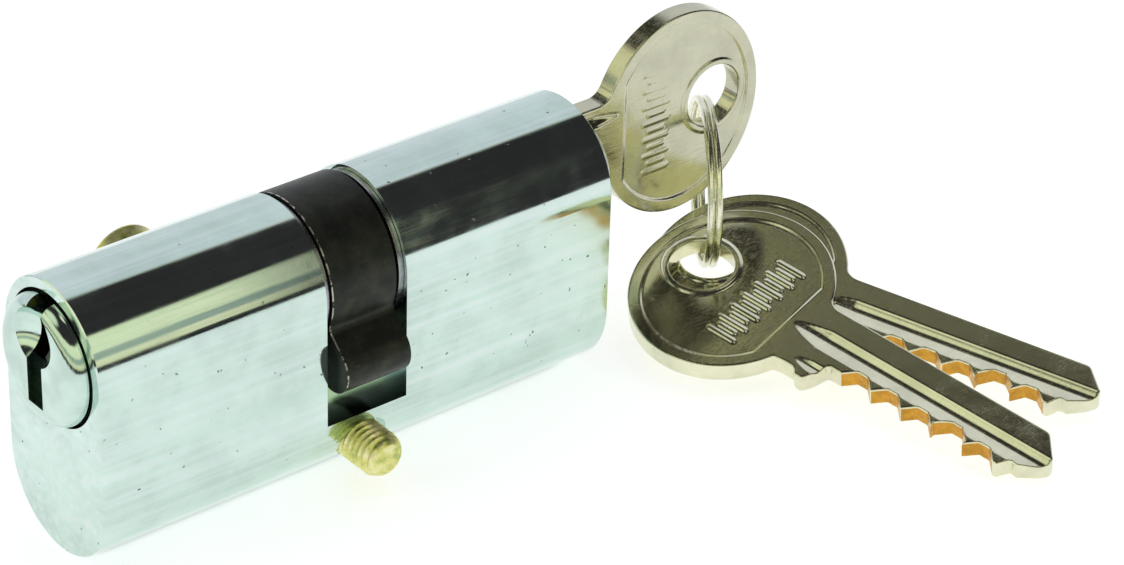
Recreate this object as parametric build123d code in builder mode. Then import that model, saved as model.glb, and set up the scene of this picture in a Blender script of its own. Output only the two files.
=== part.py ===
from build123d import *
import os
from math import asin, cos, radians, sin, sqrt, tan

# Oval-profile double lock cylinder, keyed from both ends, with its fixing screw and three keys.
# Millimetres. X runs along the plugs, rear (keyed) end at +X. Z is up, away from the pin chambers.
# The origin is on the plugs' axis, midway along the body and right above the fixing screw.

# ---- body ----
body_width = 17.0
body_height = 31.0
body_length = 64.0
body_edge = 0.15
slot_width = 10.0
slot_floor_web = 4.05            # from the cam slot's floor to the screw's axis

# ---- plugs ----
plug_r = 7.0
plug_running_gap = 0.05          # radial, plug in body and in cam
mouth_gap = 0.3                  # radial, round the nose where the bore opens
mouth_depth = 1.2
nose_length = 2.0
nose_round = 1.8
keyway_gap = 0.15                # each side of the key's blade
pocket_floor_drop = 4.7          # lower end of the keyway's mouth
dimple_mouth_r = 3.2
dimple_depth = 2.1
dimple_edge = 3.9                # from the dimple's middle to the plug's rim
ward_gap = 0.2

# ---- retaining rings ----
clip_thickness = 0.6
clip_side_gap = 0.05
clip_stand = 1.0                 # beyond the plug's radius
clip_seat_depth = 1.0
clip_radial_gap = 0.05
clip_mouth_angle = 70.0

# ---- cam ----
cam_width = 8.0
cam_shift = -0.2                 # the cam stands a little nearer the front
cam_wall = 1.25
cam_web = 1.6
lever_gap = 0.35                 # lever tip to slot floor, as the cam turns
lever_half_width = 2.7
lever_angle = 223.0              # about +X, from +Y
lever_root_fillet = 1.0

# ---- clutch ----
dog_width = 3.0
dog_end_wall = 1.6               # plug wall beyond each end of the clutch slot
dog_thickness = 2.4
dog_gap = 0.1
clutch_stem_r = 2.0
clutch_key_gap = 0.1             # stem end to the tip of a key
clutch_spacing = 0.3
clutch_pin_r = 1.0
clutch_hub_r = 3.0

# ---- pin stacks ----
pin_count = 5
pin_pitch = 4.0
pin_r = 1.4
pin_gap = 0.1
pin_chamfer = 0.3
pin_taper = 0.8
driver_length = 5.0
shear_gap = 0.08
hole_top_rise = 2.2              # blind end of the plug's pin holes, above the axis
chamber_plug_r = 1.8
chamber_plug_length = 1.5
chamber_plug_sink = 0.3          # chamber plugs' lower faces above the body's lowest line
chamber_plug_gap = 0.02
seat_gap = 0.05
spring_wire_r = 0.14
spring_coil_r = 1.1
spring_turns = 9

# ---- fixing screw ----
screw_bed = 4.25                 # screw's axis above the body's lowest line
screw_r = 2.5
screw_gap = 0.08
screw_proud = 3.5                # tip beyond the body's side
screw_thread_length = 24.0
screw_thread_pitch = 0.8
screw_thread_depth = 0.45
screw_crest = (0.44, 0.56)       # a crest's start and end, in parts of the pitch
screw_tip_chamfer = 0.4
screw_shank_length = 46.0        # tip to the foot of the head's cone
screw_head_r = 4.65
screw_head_cone = 2.4
screw_head_dome = 1.4
screw_head_rim = 0.2
screw_mouth_r = 3.0
recess_width = 1.1
recess_length = 4.6
recess_depth = 1.9
recess_taper = 12.0

# ---- key, in its own plane: U along the blade, V towards the uncut edge ----
key_thickness = 2.3
bow_half_length = 11.0
bow_half_height = 12.0
bow_rise = 1.95                  # bow centre above the plugs' axis
bow_stand_off = 13.7             # bow centre beyond the nose, key fully in
blade_top_sink = 0.65            # blade's top edge inside the plug's radius
blade_low_v = -2.6
tip_run = 6.8                    # from the last cut's middle to the blade's tip
key_hole_u = -4.7
key_hole_v = 0.55
key_hole_spare = 1.35            # hole radius beyond the key's thickness, for the ring to pass
neck_fillet = 2.0
first_cut_u = 19.1
cut_flat = 1.3
cut_depths = (1.3, 1.3, 1.3, 2.0, 1.4)
bump_u = 13.8
bump_v = -5.75
bump_half_width = 1.15
bump_run = 1.7                   # from the bump's middle to the foot of its front flank
bump_shoulder_v = -5.0
bump_crest = (-0.55, 0.45)       # the bump's flat crest, either side of its middle
bump_front_v = -4.4
neck_low_v = -5.6                # underside of the neck, inside the bow
tip_start = 4.3                  # last crest, from the tip
tip_slope = ((3.4, -1.2), (2.6, -1.35), (0.7, 0.0), (0.0, 0.9), (0.0, 1.6))
tip_back_least = 2.4             # length of the tip's upper slope
tip_clip_gap = 0.5
upper_groove_v = 2.6
upper_groove_width = 1.4
upper_groove_depth = 0.8
lower_groove_v = 0.0
lower_groove_width = 3.0
lower_groove_depth = 0.9
groove_start_u = 9.2
bow_rim = 1.5
bow_sink = 0.16
panel_end_u = 7.9
hole_rim = 0.7
ridge_count = 11
ridge_pitch = 1.12
ridge_length = 3.1
ridge_width = 0.42
ridge_lean = 24.0
ridge_row_u = 3.4

# ---- split ring and loose keys ----
ring_r = 9.2
ring_wire_r = 0.41
ring_pitch = 0.86
ring_turns = 1.94
ring_yaw = 56.0                  # heading of the ring's plane, from +X
ring_side_shift = 0.4            # where the wire crosses the inserted key's hole
ring_hang = 1.45                 # wire centre above the hole's lowest point
loose_offset = (-4.3, -10.5, -15.45)  # upper loose bow, from the inserted key's hole
loose_blade_dir = (0.18, -0.98, -0.105)
loose_normal = (-0.24, -0.16, 0.96)
second_key_shift = (0.055, 3.269)
second_key_drift = (-0.7, 0.54)  # along the ring's slope, for each mm below
second_key_turn = 11.0
second_key_gap = 0.35

clear_cut = 1.0                  # how far a cutter stands clear of the metal

# ---- derived ----
half_length = body_length / 2
half_slot = slot_width / 2
end_r = body_width / 2
bottom_centre_z = -(body_height - body_width)
bore_r = plug_r + plug_running_gap
nose_x = half_length + nose_length
body_low = body_height - end_r
screw_drop = body_low - screw_bed
slot_floor_z = slot_floor_web - screw_drop
lever_reach = -slot_floor_z - lever_gap
cam_band_r = bore_r + cam_wall
clip_outer_r = plug_r + clip_stand
clip_seat_r = plug_r - clip_seat_depth
dog_half_length = plug_r - dog_end_wall
dimple_rise = plug_r - dimple_edge
chamber_plug_drop = body_low - chamber_plug_sink
screw_tip_y = -end_r - screw_proud
screw_plain_end_y = screw_tip_y + screw_shank_length
bow_offset = nose_x + bow_stand_off
blade_top_v = plug_r - blade_top_sink - bow_rise
tip_u = first_cut_u + (pin_count - 1) * pin_pitch + tip_run
key_hole_r = key_thickness + key_hole_spare
tip_back = max(tip_back_least, tip_u - bow_offset + half_slot + tip_clip_gap)
plug_slot_half = key_thickness / 2 + keyway_gap
keyway_floor_z = bow_rise + blade_low_v - keyway_gap
key_tip_x = bow_offset - tip_u
keyway_end_x = key_tip_x - 0.5
pin_hole_r = pin_r + pin_gap
pin_x = [bow_offset - first_cut_u - index * pin_pitch for index in range(pin_count)]
tail_x = cam_web / 2 + dog_gap
dog_back_x = cam_web / 2 - dog_gap
clip_inner_x = half_slot - clip_side_gap - clip_thickness
rear_dog_x = -dog_back_x
front_dog_x = dog_back_x + clutch_spacing
clutch_stem_length = key_tip_x - clutch_key_gap - rear_dog_x - dog_thickness
stem_bore_end = front_dog_x + dog_thickness + clutch_stem_length + dog_gap
chamber_floor_z = -chamber_plug_drop + chamber_plug_length
cut_z = [bow_rise + blade_low_v + depth for depth in cut_depths]

os.makedirs("parts", exist_ok=True)


def save(part, name):
    """Label a finished piece and write it."""
    part.label = name
    export_step(part, f"parts/{name}.step")


def turned(part):
    """The same piece for the front half: half a turn about Z."""
    return part.moved(Location((0, 0, 0), (0, 0, 180)))


# ---- body ----
with BuildPart() as cylinder_body:
    with BuildSketch(Plane.YZ.offset(-half_length)):
        with Locations((0, bottom_centre_z / 2)):
            SlotOverall(body_height, body_width, rotation=90)
    extrude(amount=body_length)
    ends = cylinder_body.faces().filter_by(Axis.X)
    chamfer(ends.edges(), body_edge)
    with BuildSketch(Plane.YZ.offset(-half_length)):
        Circle(bore_r)
    extrude(amount=body_length, mode=Mode.SUBTRACT)
    for mouth_start in (-half_length, half_length - mouth_depth):
        with BuildSketch(Plane.YZ.offset(mouth_start)):
            Circle(plug_r + mouth_gap)
        extrude(amount=mouth_depth, mode=Mode.SUBTRACT)
    with BuildSketch(Plane.XZ.offset(-body_width)):
        with Locations((0, slot_floor_z)):
            Rectangle(slot_width, body_height, align=(Align.CENTER, Align.MIN))
    extrude(amount=2 * body_width, mode=Mode.SUBTRACT)
    chamber_spots = [(side * x, 0) for side in (-1, 1) for x in pin_x]
    with BuildSketch(Plane.XY.offset(bottom_centre_z - end_r)):
        with Locations(*chamber_spots):
            Circle(pin_hole_r)
    extrude(amount=end_r - bottom_centre_z - plug_r * 0.9, mode=Mode.SUBTRACT)
    with BuildSketch(Plane.XY.offset(bottom_centre_z - end_r)):
        with Locations(*chamber_spots):
            Circle(chamber_plug_r)
    extrude(amount=chamber_floor_z - bottom_centre_z + end_r, mode=Mode.SUBTRACT)
    with BuildSketch(Plane.XZ.offset(-body_width)):
        with Locations((0, -screw_drop)):
            Circle(screw_r + screw_gap)
    extrude(amount=2 * body_width, mode=Mode.SUBTRACT)
    screw_side_y = sqrt(end_r**2 - (screw_drop + bottom_centre_z) ** 2)
    with BuildSketch(Plane.XZ.offset(screw_side_y - 0.5)):
        with Locations((0, -screw_drop)):
            Circle(screw_mouth_r)
    extrude(amount=end_r, mode=Mode.SUBTRACT)
save(cylinder_body.part, "cylinder_body")


def chamber_plugs():
    """Five plugs that close one half's pin chambers from below."""
    with BuildPart() as plugs:
        with BuildSketch(Plane.XY.offset(-chamber_plug_drop)):
            with Locations(*[(x, 0) for x in pin_x]):
                Circle(chamber_plug_r - chamber_plug_gap)
        extrude(amount=chamber_plug_length - chamber_plug_gap)
    return plugs.part


rear_chamber_plugs = chamber_plugs()
save(turned(rear_chamber_plugs), "front_chamber_plugs")
save(rear_chamber_plugs, "rear_chamber_plugs")


# ---- plugs ----
def plug():
    """A plug with its nose at +X: keyway, wards, pin holes, ring groove and clutch slot."""
    with BuildPart() as core:
        with BuildSketch(Plane.XY):
            with BuildLine():
                Polyline((tail_x, 0), (tail_x, plug_r), (nose_x, plug_r), (nose_x, 0), close=True)
            make_face()
            nose_corner = vertices().group_by(Axis.X)[-1].sort_by(Axis.Y)[-1]
            fillet(nose_corner, nose_round)
        revolve(axis=Axis.X)
        with BuildSketch(Plane.YZ.offset(clip_inner_x - clip_side_gap)):
            Circle(plug_r + clear_cut)
            Circle(clip_seat_r, mode=Mode.SUBTRACT)
        extrude(amount=clip_thickness + 2 * clip_side_gap, mode=Mode.SUBTRACT)
        # keyway, with the two wards left standing in it
        with BuildSketch(Plane.YZ.offset(keyway_end_x)):
            with Locations((0, keyway_floor_z)):
                Rectangle(2 * plug_slot_half, 2 * plug_r, align=(Align.CENTER, Align.MIN))
            upper_reach = keyway_gap + upper_groove_depth - ward_gap
            with Locations((-plug_slot_half, bow_rise + upper_groove_v)):
                Rectangle(2 * upper_reach, upper_groove_width - 2 * ward_gap, mode=Mode.SUBTRACT)
            lower_reach = keyway_gap + lower_groove_depth - ward_gap
            with Locations((plug_slot_half, bow_rise + lower_groove_v)):
                Rectangle(2 * lower_reach, lower_groove_width - 2 * ward_gap, mode=Mode.SUBTRACT)
        extrude(amount=nose_x, mode=Mode.SUBTRACT)
        # deeper mouth that takes the key's stop bump
        mouth_x = bow_offset - bump_u - bump_run - keyway_gap
        with BuildSketch(Plane.YZ.offset(mouth_x)):
            with Locations((0, -pocket_floor_drop)):
                Rectangle(2 * plug_slot_half, pocket_floor_drop, align=(Align.CENTER, Align.MIN))
        extrude(amount=nose_x, mode=Mode.SUBTRACT)
        dimple_r = (dimple_mouth_r**2 + dimple_depth**2) / (2 * dimple_depth)
        with Locations((nose_x + dimple_r - dimple_depth, 0, dimple_rise)):
            Sphere(dimple_r, mode=Mode.SUBTRACT)
        with BuildSketch(Plane.XY.offset(-plug_r - clear_cut)):
            with Locations(*[(x, 0) for x in pin_x]):
                Circle(pin_hole_r)
        extrude(amount=plug_r + clear_cut + hole_top_rise, mode=Mode.SUBTRACT)
        # clutch slot across the tail and the stem's bore
        with BuildSketch(Plane.YZ.offset(tail_x - 0.1)):
            Rectangle(2 * (dog_half_length + dog_gap), dog_width + 2 * dog_gap)
            Circle(clutch_hub_r + dog_gap)
        extrude(amount=dog_thickness + 2 * dog_gap + 0.1, mode=Mode.SUBTRACT)
        with BuildSketch(Plane.YZ.offset(tail_x)):
            Circle(clutch_stem_r + dog_gap)
        extrude(amount=stem_bore_end - tail_x, mode=Mode.SUBTRACT)
    return core.part


rear_plug = plug()
save(turned(rear_plug), "front_plug")
save(rear_plug, "rear_plug")


def retaining_ring():
    """An open ring in the plug's groove, against the body's slot wall."""
    with BuildPart() as clip:
        with BuildSketch(Plane.YZ.offset(clip_inner_x)):
            Circle(clip_outer_r)
            Circle(clip_seat_r + clip_radial_gap, mode=Mode.SUBTRACT)
            half_mouth = clip_outer_r * tan(radians(clip_mouth_angle / 2))
            with BuildLine():
                Polyline((0, 0), (half_mouth, -clip_outer_r), (-half_mouth, -clip_outer_r), close=True)
            make_face(mode=Mode.SUBTRACT)
        extrude(amount=clip_thickness)
    return clip.part


rear_retaining_ring = retaining_ring()
save(turned(rear_retaining_ring), "front_retaining_ring")
save(rear_retaining_ring, "rear_retaining_ring")


# ---- cam ----
cam_low_x = cam_shift - cam_width / 2
with BuildPart() as cam:
    lever_turn = radians(lever_angle)
    lever_run = lever_reach - lever_half_width
    with BuildSketch(Plane.YZ.offset(cam_low_x)):
        Circle(cam_band_r)
        with Locations(Location((0, 0, 0), (0, 0, lever_angle))):
            Rectangle(lever_run, 2 * lever_half_width, align=(Align.MIN, Align.CENTER))
        roots = vertices().filter_by(lambda v: abs(Vector(v.X, v.Y, v.Z).length - cam_band_r) < 0.3)
        fillet(roots, lever_root_fillet)
        with Locations((lever_run * cos(lever_turn), lever_run * sin(lever_turn))):
            Circle(lever_half_width)
    extrude(amount=cam_width)
    with BuildSketch(Plane.YZ.offset(cam_low_x)):
        Circle(bore_r)
    extrude(amount=cam_width, mode=Mode.SUBTRACT)
    with BuildSketch(Plane.YZ.offset(-cam_web / 2)):
        Circle(bore_r + 0.3)
        Circle(clutch_hub_r + dog_gap, mode=Mode.SUBTRACT)
        Rectangle(2 * (dog_half_length + dog_gap), dog_width + 2 * dog_gap, mode=Mode.SUBTRACT)
    extrude(amount=cam_web)
save(cam.part, "cam")


# ---- clutch ----
def clutch_half(back_x):
    """A dog bar with a hub and the stem that a key's tip pushes on."""
    with BuildPart() as dog:
        with BuildSketch(Plane.YZ.offset(back_x)):
            Rectangle(2 * dog_half_length, dog_width)
            Circle(clutch_hub_r)
        extrude(amount=dog_thickness)
        with BuildSketch(Plane.YZ.offset(back_x + dog_thickness)):
            Circle(clutch_stem_r)
        extrude(amount=clutch_stem_length)
        with BuildSketch(Plane.YZ.offset(back_x - 0.1)):
            Circle(clutch_pin_r + plug_running_gap)
        extrude(amount=dog_thickness + 0.1, mode=Mode.SUBTRACT)
    return dog.part


rear_clutch = clutch_half(rear_dog_x)
front_clutch = clutch_half(front_dog_x)
save(turned(front_clutch), "front_clutch")
save(rear_clutch, "rear_clutch")
with BuildPart() as clutch_pin:
    pin_reach = dog_thickness - seat_gap
    with BuildSketch(Plane.YZ.offset(-front_dog_x - pin_reach)):
        Circle(clutch_pin_r)
    extrude(amount=front_dog_x + pin_reach + rear_dog_x + pin_reach)
save(clutch_pin.part, "clutch_pin")


# ---- pin stacks ----
def stack_pin(x, low_z, high_z, pointed):
    """A tumbler pin: a key pin has a long taper at its top, a driver a small chamfer."""
    taper = pin_taper if pointed else pin_chamfer
    length = high_z - low_z
    with BuildPart() as pin:
        with BuildSketch(Plane.XZ):
            with BuildLine():
                Polyline(
                    (0, low_z),
                    (pin_r - pin_chamfer, low_z),
                    (pin_r, low_z + pin_chamfer),
                    (pin_r, low_z + length - taper),
                    (pin_r - taper, high_z),
                    (0, high_z),
                    close=True,
                )
            make_face()
        revolve(axis=Axis.Z)
    return pin.part.moved(Location((x, 0, 0)))


def stack_spring(x, low_z, high_z):
    """A round-wire compression spring between a chamber plug and a driver pin."""
    rise = high_z - low_z - 2 * spring_wire_r
    with BuildPart() as spring:
        with BuildLine():
            coil = Helix(
                pitch=rise / spring_turns,
                height=rise,
                radius=spring_coil_r,
                center=(x, 0, low_z + spring_wire_r),
            )
        with BuildSketch(Plane(origin=coil @ 0, z_dir=coil % 0)):
            Circle(spring_wire_r)
        sweep(is_frenet=True)
    return spring.part


rear_tip_z = bow_rise + blade_low_v - pin_gap
key_pin_foot_z = -sqrt(plug_r**2 - pin_r**2) + pin_chamfer / 3
driver_head_z = -plug_r - shear_gap
spring_low_z = chamber_floor_z + seat_gap
for number, x in enumerate(pin_x, start=1):
    save(stack_pin(x, key_pin_foot_z, rear_tip_z, True), f"rear_key_pin_{number}")
    driver_low_z = driver_head_z - driver_length
    save(stack_pin(x, driver_low_z, driver_head_z, False), f"rear_driver_pin_{number}")
    save(stack_spring(x, spring_low_z, driver_low_z - seat_gap), f"rear_spring_{number}")

# the front keyway is empty, so its springs hold each stack up across the shear line
for number, (x, seat_z) in enumerate(zip(pin_x, cut_z), start=1):
    tip_z = hole_top_rise - pin_gap
    foot_z = tip_z - (seat_z - key_pin_foot_z)
    driver_top_z = foot_z - seat_gap
    driver_low_z = driver_top_z - driver_length
    save(stack_pin(-x, foot_z, tip_z, True), f"front_key_pin_{number}")
    save(stack_pin(-x, driver_low_z, driver_top_z, False), f"front_driver_pin_{number}")
    save(stack_spring(-x, spring_low_z, driver_low_z - seat_gap), f"front_spring_{number}")


# ---- fixing screw ----
def thread_profile():
    """Zigzag of the thread's crests and roots along the screw, from the tip."""
    turns = int(screw_thread_length / screw_thread_pitch)
    points = []
    for turn in range(1, turns):
        y = screw_tip_y + turn * screw_thread_pitch
        points.append((screw_r - screw_thread_depth, y))
        for share in screw_crest:
            points.append((screw_r, y + share * screw_thread_pitch))
    return points


with BuildPart() as fixing_screw:
    head_y = screw_plain_end_y + screw_head_cone
    dome_y = head_y + screw_head_rim
    dome_r = (screw_head_r**2 + screw_head_dome**2) / (2 * screw_head_dome)
    half_sweep = asin(screw_head_r / dome_r) / 2
    dome_middle = (dome_r * sin(half_sweep), dome_y + screw_head_dome - dome_r * (1 - cos(half_sweep)))
    with BuildSketch(Plane.XY):
        with BuildLine():
            shank = Polyline(
                (0, screw_tip_y),
                (screw_r - screw_thread_depth, screw_tip_y),
                (screw_r - 0.1, screw_tip_y + screw_tip_chamfer),
                *thread_profile(),
                (screw_r - screw_thread_depth, screw_tip_y + screw_thread_length),
                (screw_r, screw_tip_y + screw_thread_length + screw_thread_depth),
                (screw_r, screw_plain_end_y),
                (screw_head_r, head_y),
                (screw_head_r, dome_y),
            )
            dome = ThreePointArc(shank @ 1, dome_middle, (0, dome_y + screw_head_dome))
            Line(dome @ 1, shank @ 0)
        make_face()
    revolve(axis=Axis.Y)
    with BuildSketch(Plane.XZ.offset(-dome_y - screw_head_dome)):
        Rectangle(recess_length, recess_width)
        Rectangle(recess_width, recess_length)
    extrude(amount=recess_depth, taper=recess_taper, mode=Mode.SUBTRACT)
save(fixing_screw.part.moved(Location((0, 0, -screw_drop))), "fixing_screw")


# ---- keys ----
def blade_outline():
    """Lower and tip edges of the blade, from the neck's underside round to the top edge."""
    inside_bow_u = bow_half_length * 0.6
    points = [(inside_bow_u, neck_low_v)]
    points += [(bump_u - 2.6, bump_shoulder_v), (bump_u - bump_half_width, bump_shoulder_v)]
    points += [(bump_u + side, bump_v) for side in bump_crest]
    points += [(bump_u + bump_half_width, bump_front_v)]
    points += [(bump_u + bump_run, blade_low_v)]
    for index, depth in enumerate(cut_depths):
        centre_u = first_cut_u + index * pin_pitch
        floor_v = blade_low_v + depth
        flank = min(depth, (pin_pitch - cut_flat) / 2)
        wide = cut_flat / 2
        points += [(centre_u - wide - flank, blade_low_v + depth - flank), (centre_u - wide, floor_v)]
        points += [(centre_u + wide, floor_v), (centre_u + wide + flank, blade_low_v + depth - flank)]
    points += [(tip_u - tip_start, blade_low_v)]
    points += [(tip_u - back, v) for back, v in tip_slope]
    points += [(tip_u - tip_back, blade_top_v), (inside_bow_u, blade_top_v)]
    return points


def key():
    """A cut key, lying in XY with its bow centred on the origin."""
    half = key_thickness / 2
    sink = half - bow_sink
    with BuildPart() as blank:
        with BuildSketch(Plane.XY.offset(-half)):
            Ellipse(bow_half_length, bow_half_height)
            with BuildLine():
                Polyline(*blade_outline(), close=True)
            make_face()
            near_bow = vertices().filter_by_position(Axis.X, 6, 11.5)
            fillet(near_bow.group_by(Axis.Y)[-1], neck_fillet)
        extrude(amount=key_thickness)
        for level in (sink, -half):
            # coined panel inside the bow's rim, with a raised rim round the hole and a ridged patch
            with BuildSketch(Plane.XY.offset(level)):
                Ellipse(bow_half_length - bow_rim, bow_half_height - bow_rim)
                with Locations((panel_end_u, 0)):
                    beyond = (Align.MIN, Align.CENTER)
                    Rectangle(bow_half_length, 4 * bow_half_height, align=beyond, mode=Mode.SUBTRACT)
                with Locations((key_hole_u, key_hole_v)):
                    Circle(key_hole_r + hole_rim, mode=Mode.SUBTRACT)
                with GridLocations(0, ridge_pitch, 1, ridge_count):
                    with Locations(Location((ridge_row_u, 0, 0), (0, 0, ridge_lean))):
                        SlotOverall(ridge_length, ridge_width, mode=Mode.SUBTRACT)
            extrude(amount=bow_sink, mode=Mode.SUBTRACT)
        with BuildSketch(Plane.XY.offset(-half)):
            with Locations((key_hole_u, key_hole_v)):
                Circle(key_hole_r)
        extrude(amount=key_thickness, mode=Mode.SUBTRACT)
        groove_run = 2 * (tip_u - groove_start_u)
        with BuildSketch(Plane.XY.offset(half)):
            with Locations((groove_start_u + groove_run / 2, lower_groove_v)):
                SlotOverall(groove_run, lower_groove_width)
        extrude(amount=-lower_groove_depth, mode=Mode.SUBTRACT)
        with BuildSketch(Plane.XY.offset(-half)):
            with Locations((groove_start_u + groove_run / 2, upper_groove_v)):
                SlotOverall(groove_run, upper_groove_width)
        extrude(amount=upper_groove_depth, mode=Mode.SUBTRACT)
    return blank.part


cut_key = key()
inserted_plane = Plane(origin=(bow_offset, 0, bow_rise), x_dir=(-1, 0, 0), z_dir=(0, 1, 0))
save(cut_key.moved(inserted_plane.location), "inserted_key")
hole_x = bow_offset - key_hole_u
hole_low_z = bow_rise + key_hole_v - key_hole_r
loose_centre = Vector(hole_x, 0, hole_low_z) + Vector(*loose_offset)
loose_plane = Plane(origin=loose_centre, x_dir=loose_blade_dir, z_dir=loose_normal)
save(cut_key.moved(loose_plane.location), "loose_key_upper")
below = key_thickness + second_key_gap
slide = [start + drift * below for start, drift in zip(second_key_shift, second_key_drift)]
second_place = Location((*slide, -below), (0, 0, second_key_turn))
save(cut_key.moved(loose_plane.location * second_place), "loose_key_lower")

# ---- split ring: two turns of wire through all three bows ----
ring_centre = (hole_x + ring_side_shift, 0, hole_low_z + ring_hang - ring_r)
ring_axis = (sin(radians(ring_yaw)), -cos(radians(ring_yaw)), 0)
with BuildPart() as split_ring:
    ring_length = ring_turns * ring_pitch
    with BuildLine():
        centre = Vector(*ring_centre) - Vector(*ring_axis) * (ring_length / 2)
        turns = Helix(ring_pitch, ring_length, ring_r, center=centre, direction=ring_axis)
    with BuildSketch(Plane(origin=turns @ 0, z_dir=turns % 0)):
        Circle(ring_wire_r)
    sweep(is_frenet=True)
save(split_ring.part, "split_ring")
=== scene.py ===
import math

import bmesh
import bpy
import numpy
from mathutils import Matrix, Vector
from mathutils.geometry import delaunay_2d_cdt


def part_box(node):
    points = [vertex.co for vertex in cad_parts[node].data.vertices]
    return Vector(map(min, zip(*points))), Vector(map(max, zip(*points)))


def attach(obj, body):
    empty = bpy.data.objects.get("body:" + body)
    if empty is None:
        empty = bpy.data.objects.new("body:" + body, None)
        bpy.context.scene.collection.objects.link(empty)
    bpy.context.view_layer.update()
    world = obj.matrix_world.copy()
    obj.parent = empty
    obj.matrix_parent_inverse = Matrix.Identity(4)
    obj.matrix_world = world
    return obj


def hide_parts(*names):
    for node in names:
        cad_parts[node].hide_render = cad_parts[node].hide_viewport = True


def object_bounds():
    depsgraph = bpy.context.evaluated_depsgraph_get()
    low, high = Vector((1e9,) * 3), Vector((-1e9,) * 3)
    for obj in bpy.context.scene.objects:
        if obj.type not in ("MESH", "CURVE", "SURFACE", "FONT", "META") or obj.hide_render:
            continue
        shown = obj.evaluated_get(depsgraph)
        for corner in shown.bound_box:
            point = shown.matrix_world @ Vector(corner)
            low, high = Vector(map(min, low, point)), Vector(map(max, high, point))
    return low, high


bl_info = {
    "name": "Double lock cylinder",
    "version": (1, 0, 0),
    "blender": (4, 5, 0),
    "location": "3D View > Sidebar > Lock cylinder",
    "description": "Finishes an oval double lock cylinder with its fixing screw, keys and split ring",
    "category": "Object",
}

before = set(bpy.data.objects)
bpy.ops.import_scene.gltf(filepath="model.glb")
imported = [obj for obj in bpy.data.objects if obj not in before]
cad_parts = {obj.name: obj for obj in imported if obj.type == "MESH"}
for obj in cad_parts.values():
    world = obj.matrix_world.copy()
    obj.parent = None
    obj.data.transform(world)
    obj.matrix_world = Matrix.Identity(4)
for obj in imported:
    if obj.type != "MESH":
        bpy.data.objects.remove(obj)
cad_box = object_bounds()
MM = 0.001

# nose of a plug: its radius, the end of the body and the gap's outer wall
NOSE_R = 7.0 * MM
BODY_END = 32.0 * MM
MOUTH_R = 7.3 * MM
# keyway in the nose: half width, top, bottom and face
KEYWAY_HALF = 1.3 * MM
KEYWAY_TOP = 2.0 * MM
KEYWAY_LOW = -5.5 * MM
NOSE_FACE = 33.8 * MM
# worn ring on the cam's near edge: where it starts and how wide it is
WORN_R = 8.1 * MM
WORN_WIDTH = 0.22 * MM


# ---- shader maths ----
class Wire:
    """A node's output that takes part in arithmetic."""

    def __init__(self, graph, socket):
        self.graph = graph
        self.socket = socket

    def maths(self, operation, first, second=0.0):
        return self.graph.node("Math", {"operation": operation}, {0: first, 1: second})

    def __add__(self, other):
        return self.maths("ADD", self, other)

    def __radd__(self, other):
        return self.maths("ADD", other, self)

    def __sub__(self, other):
        return self.maths("SUBTRACT", self, other)

    def __rsub__(self, other):
        return self.maths("SUBTRACT", other, self)

    def __mul__(self, other):
        return self.maths("MULTIPLY", self, other)

    def __rmul__(self, other):
        return self.maths("MULTIPLY", other, self)

    def __pow__(self, other):
        return self.maths("POWER", self, other)

    def __abs__(self):
        return self.maths("ABSOLUTE", self)


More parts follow.
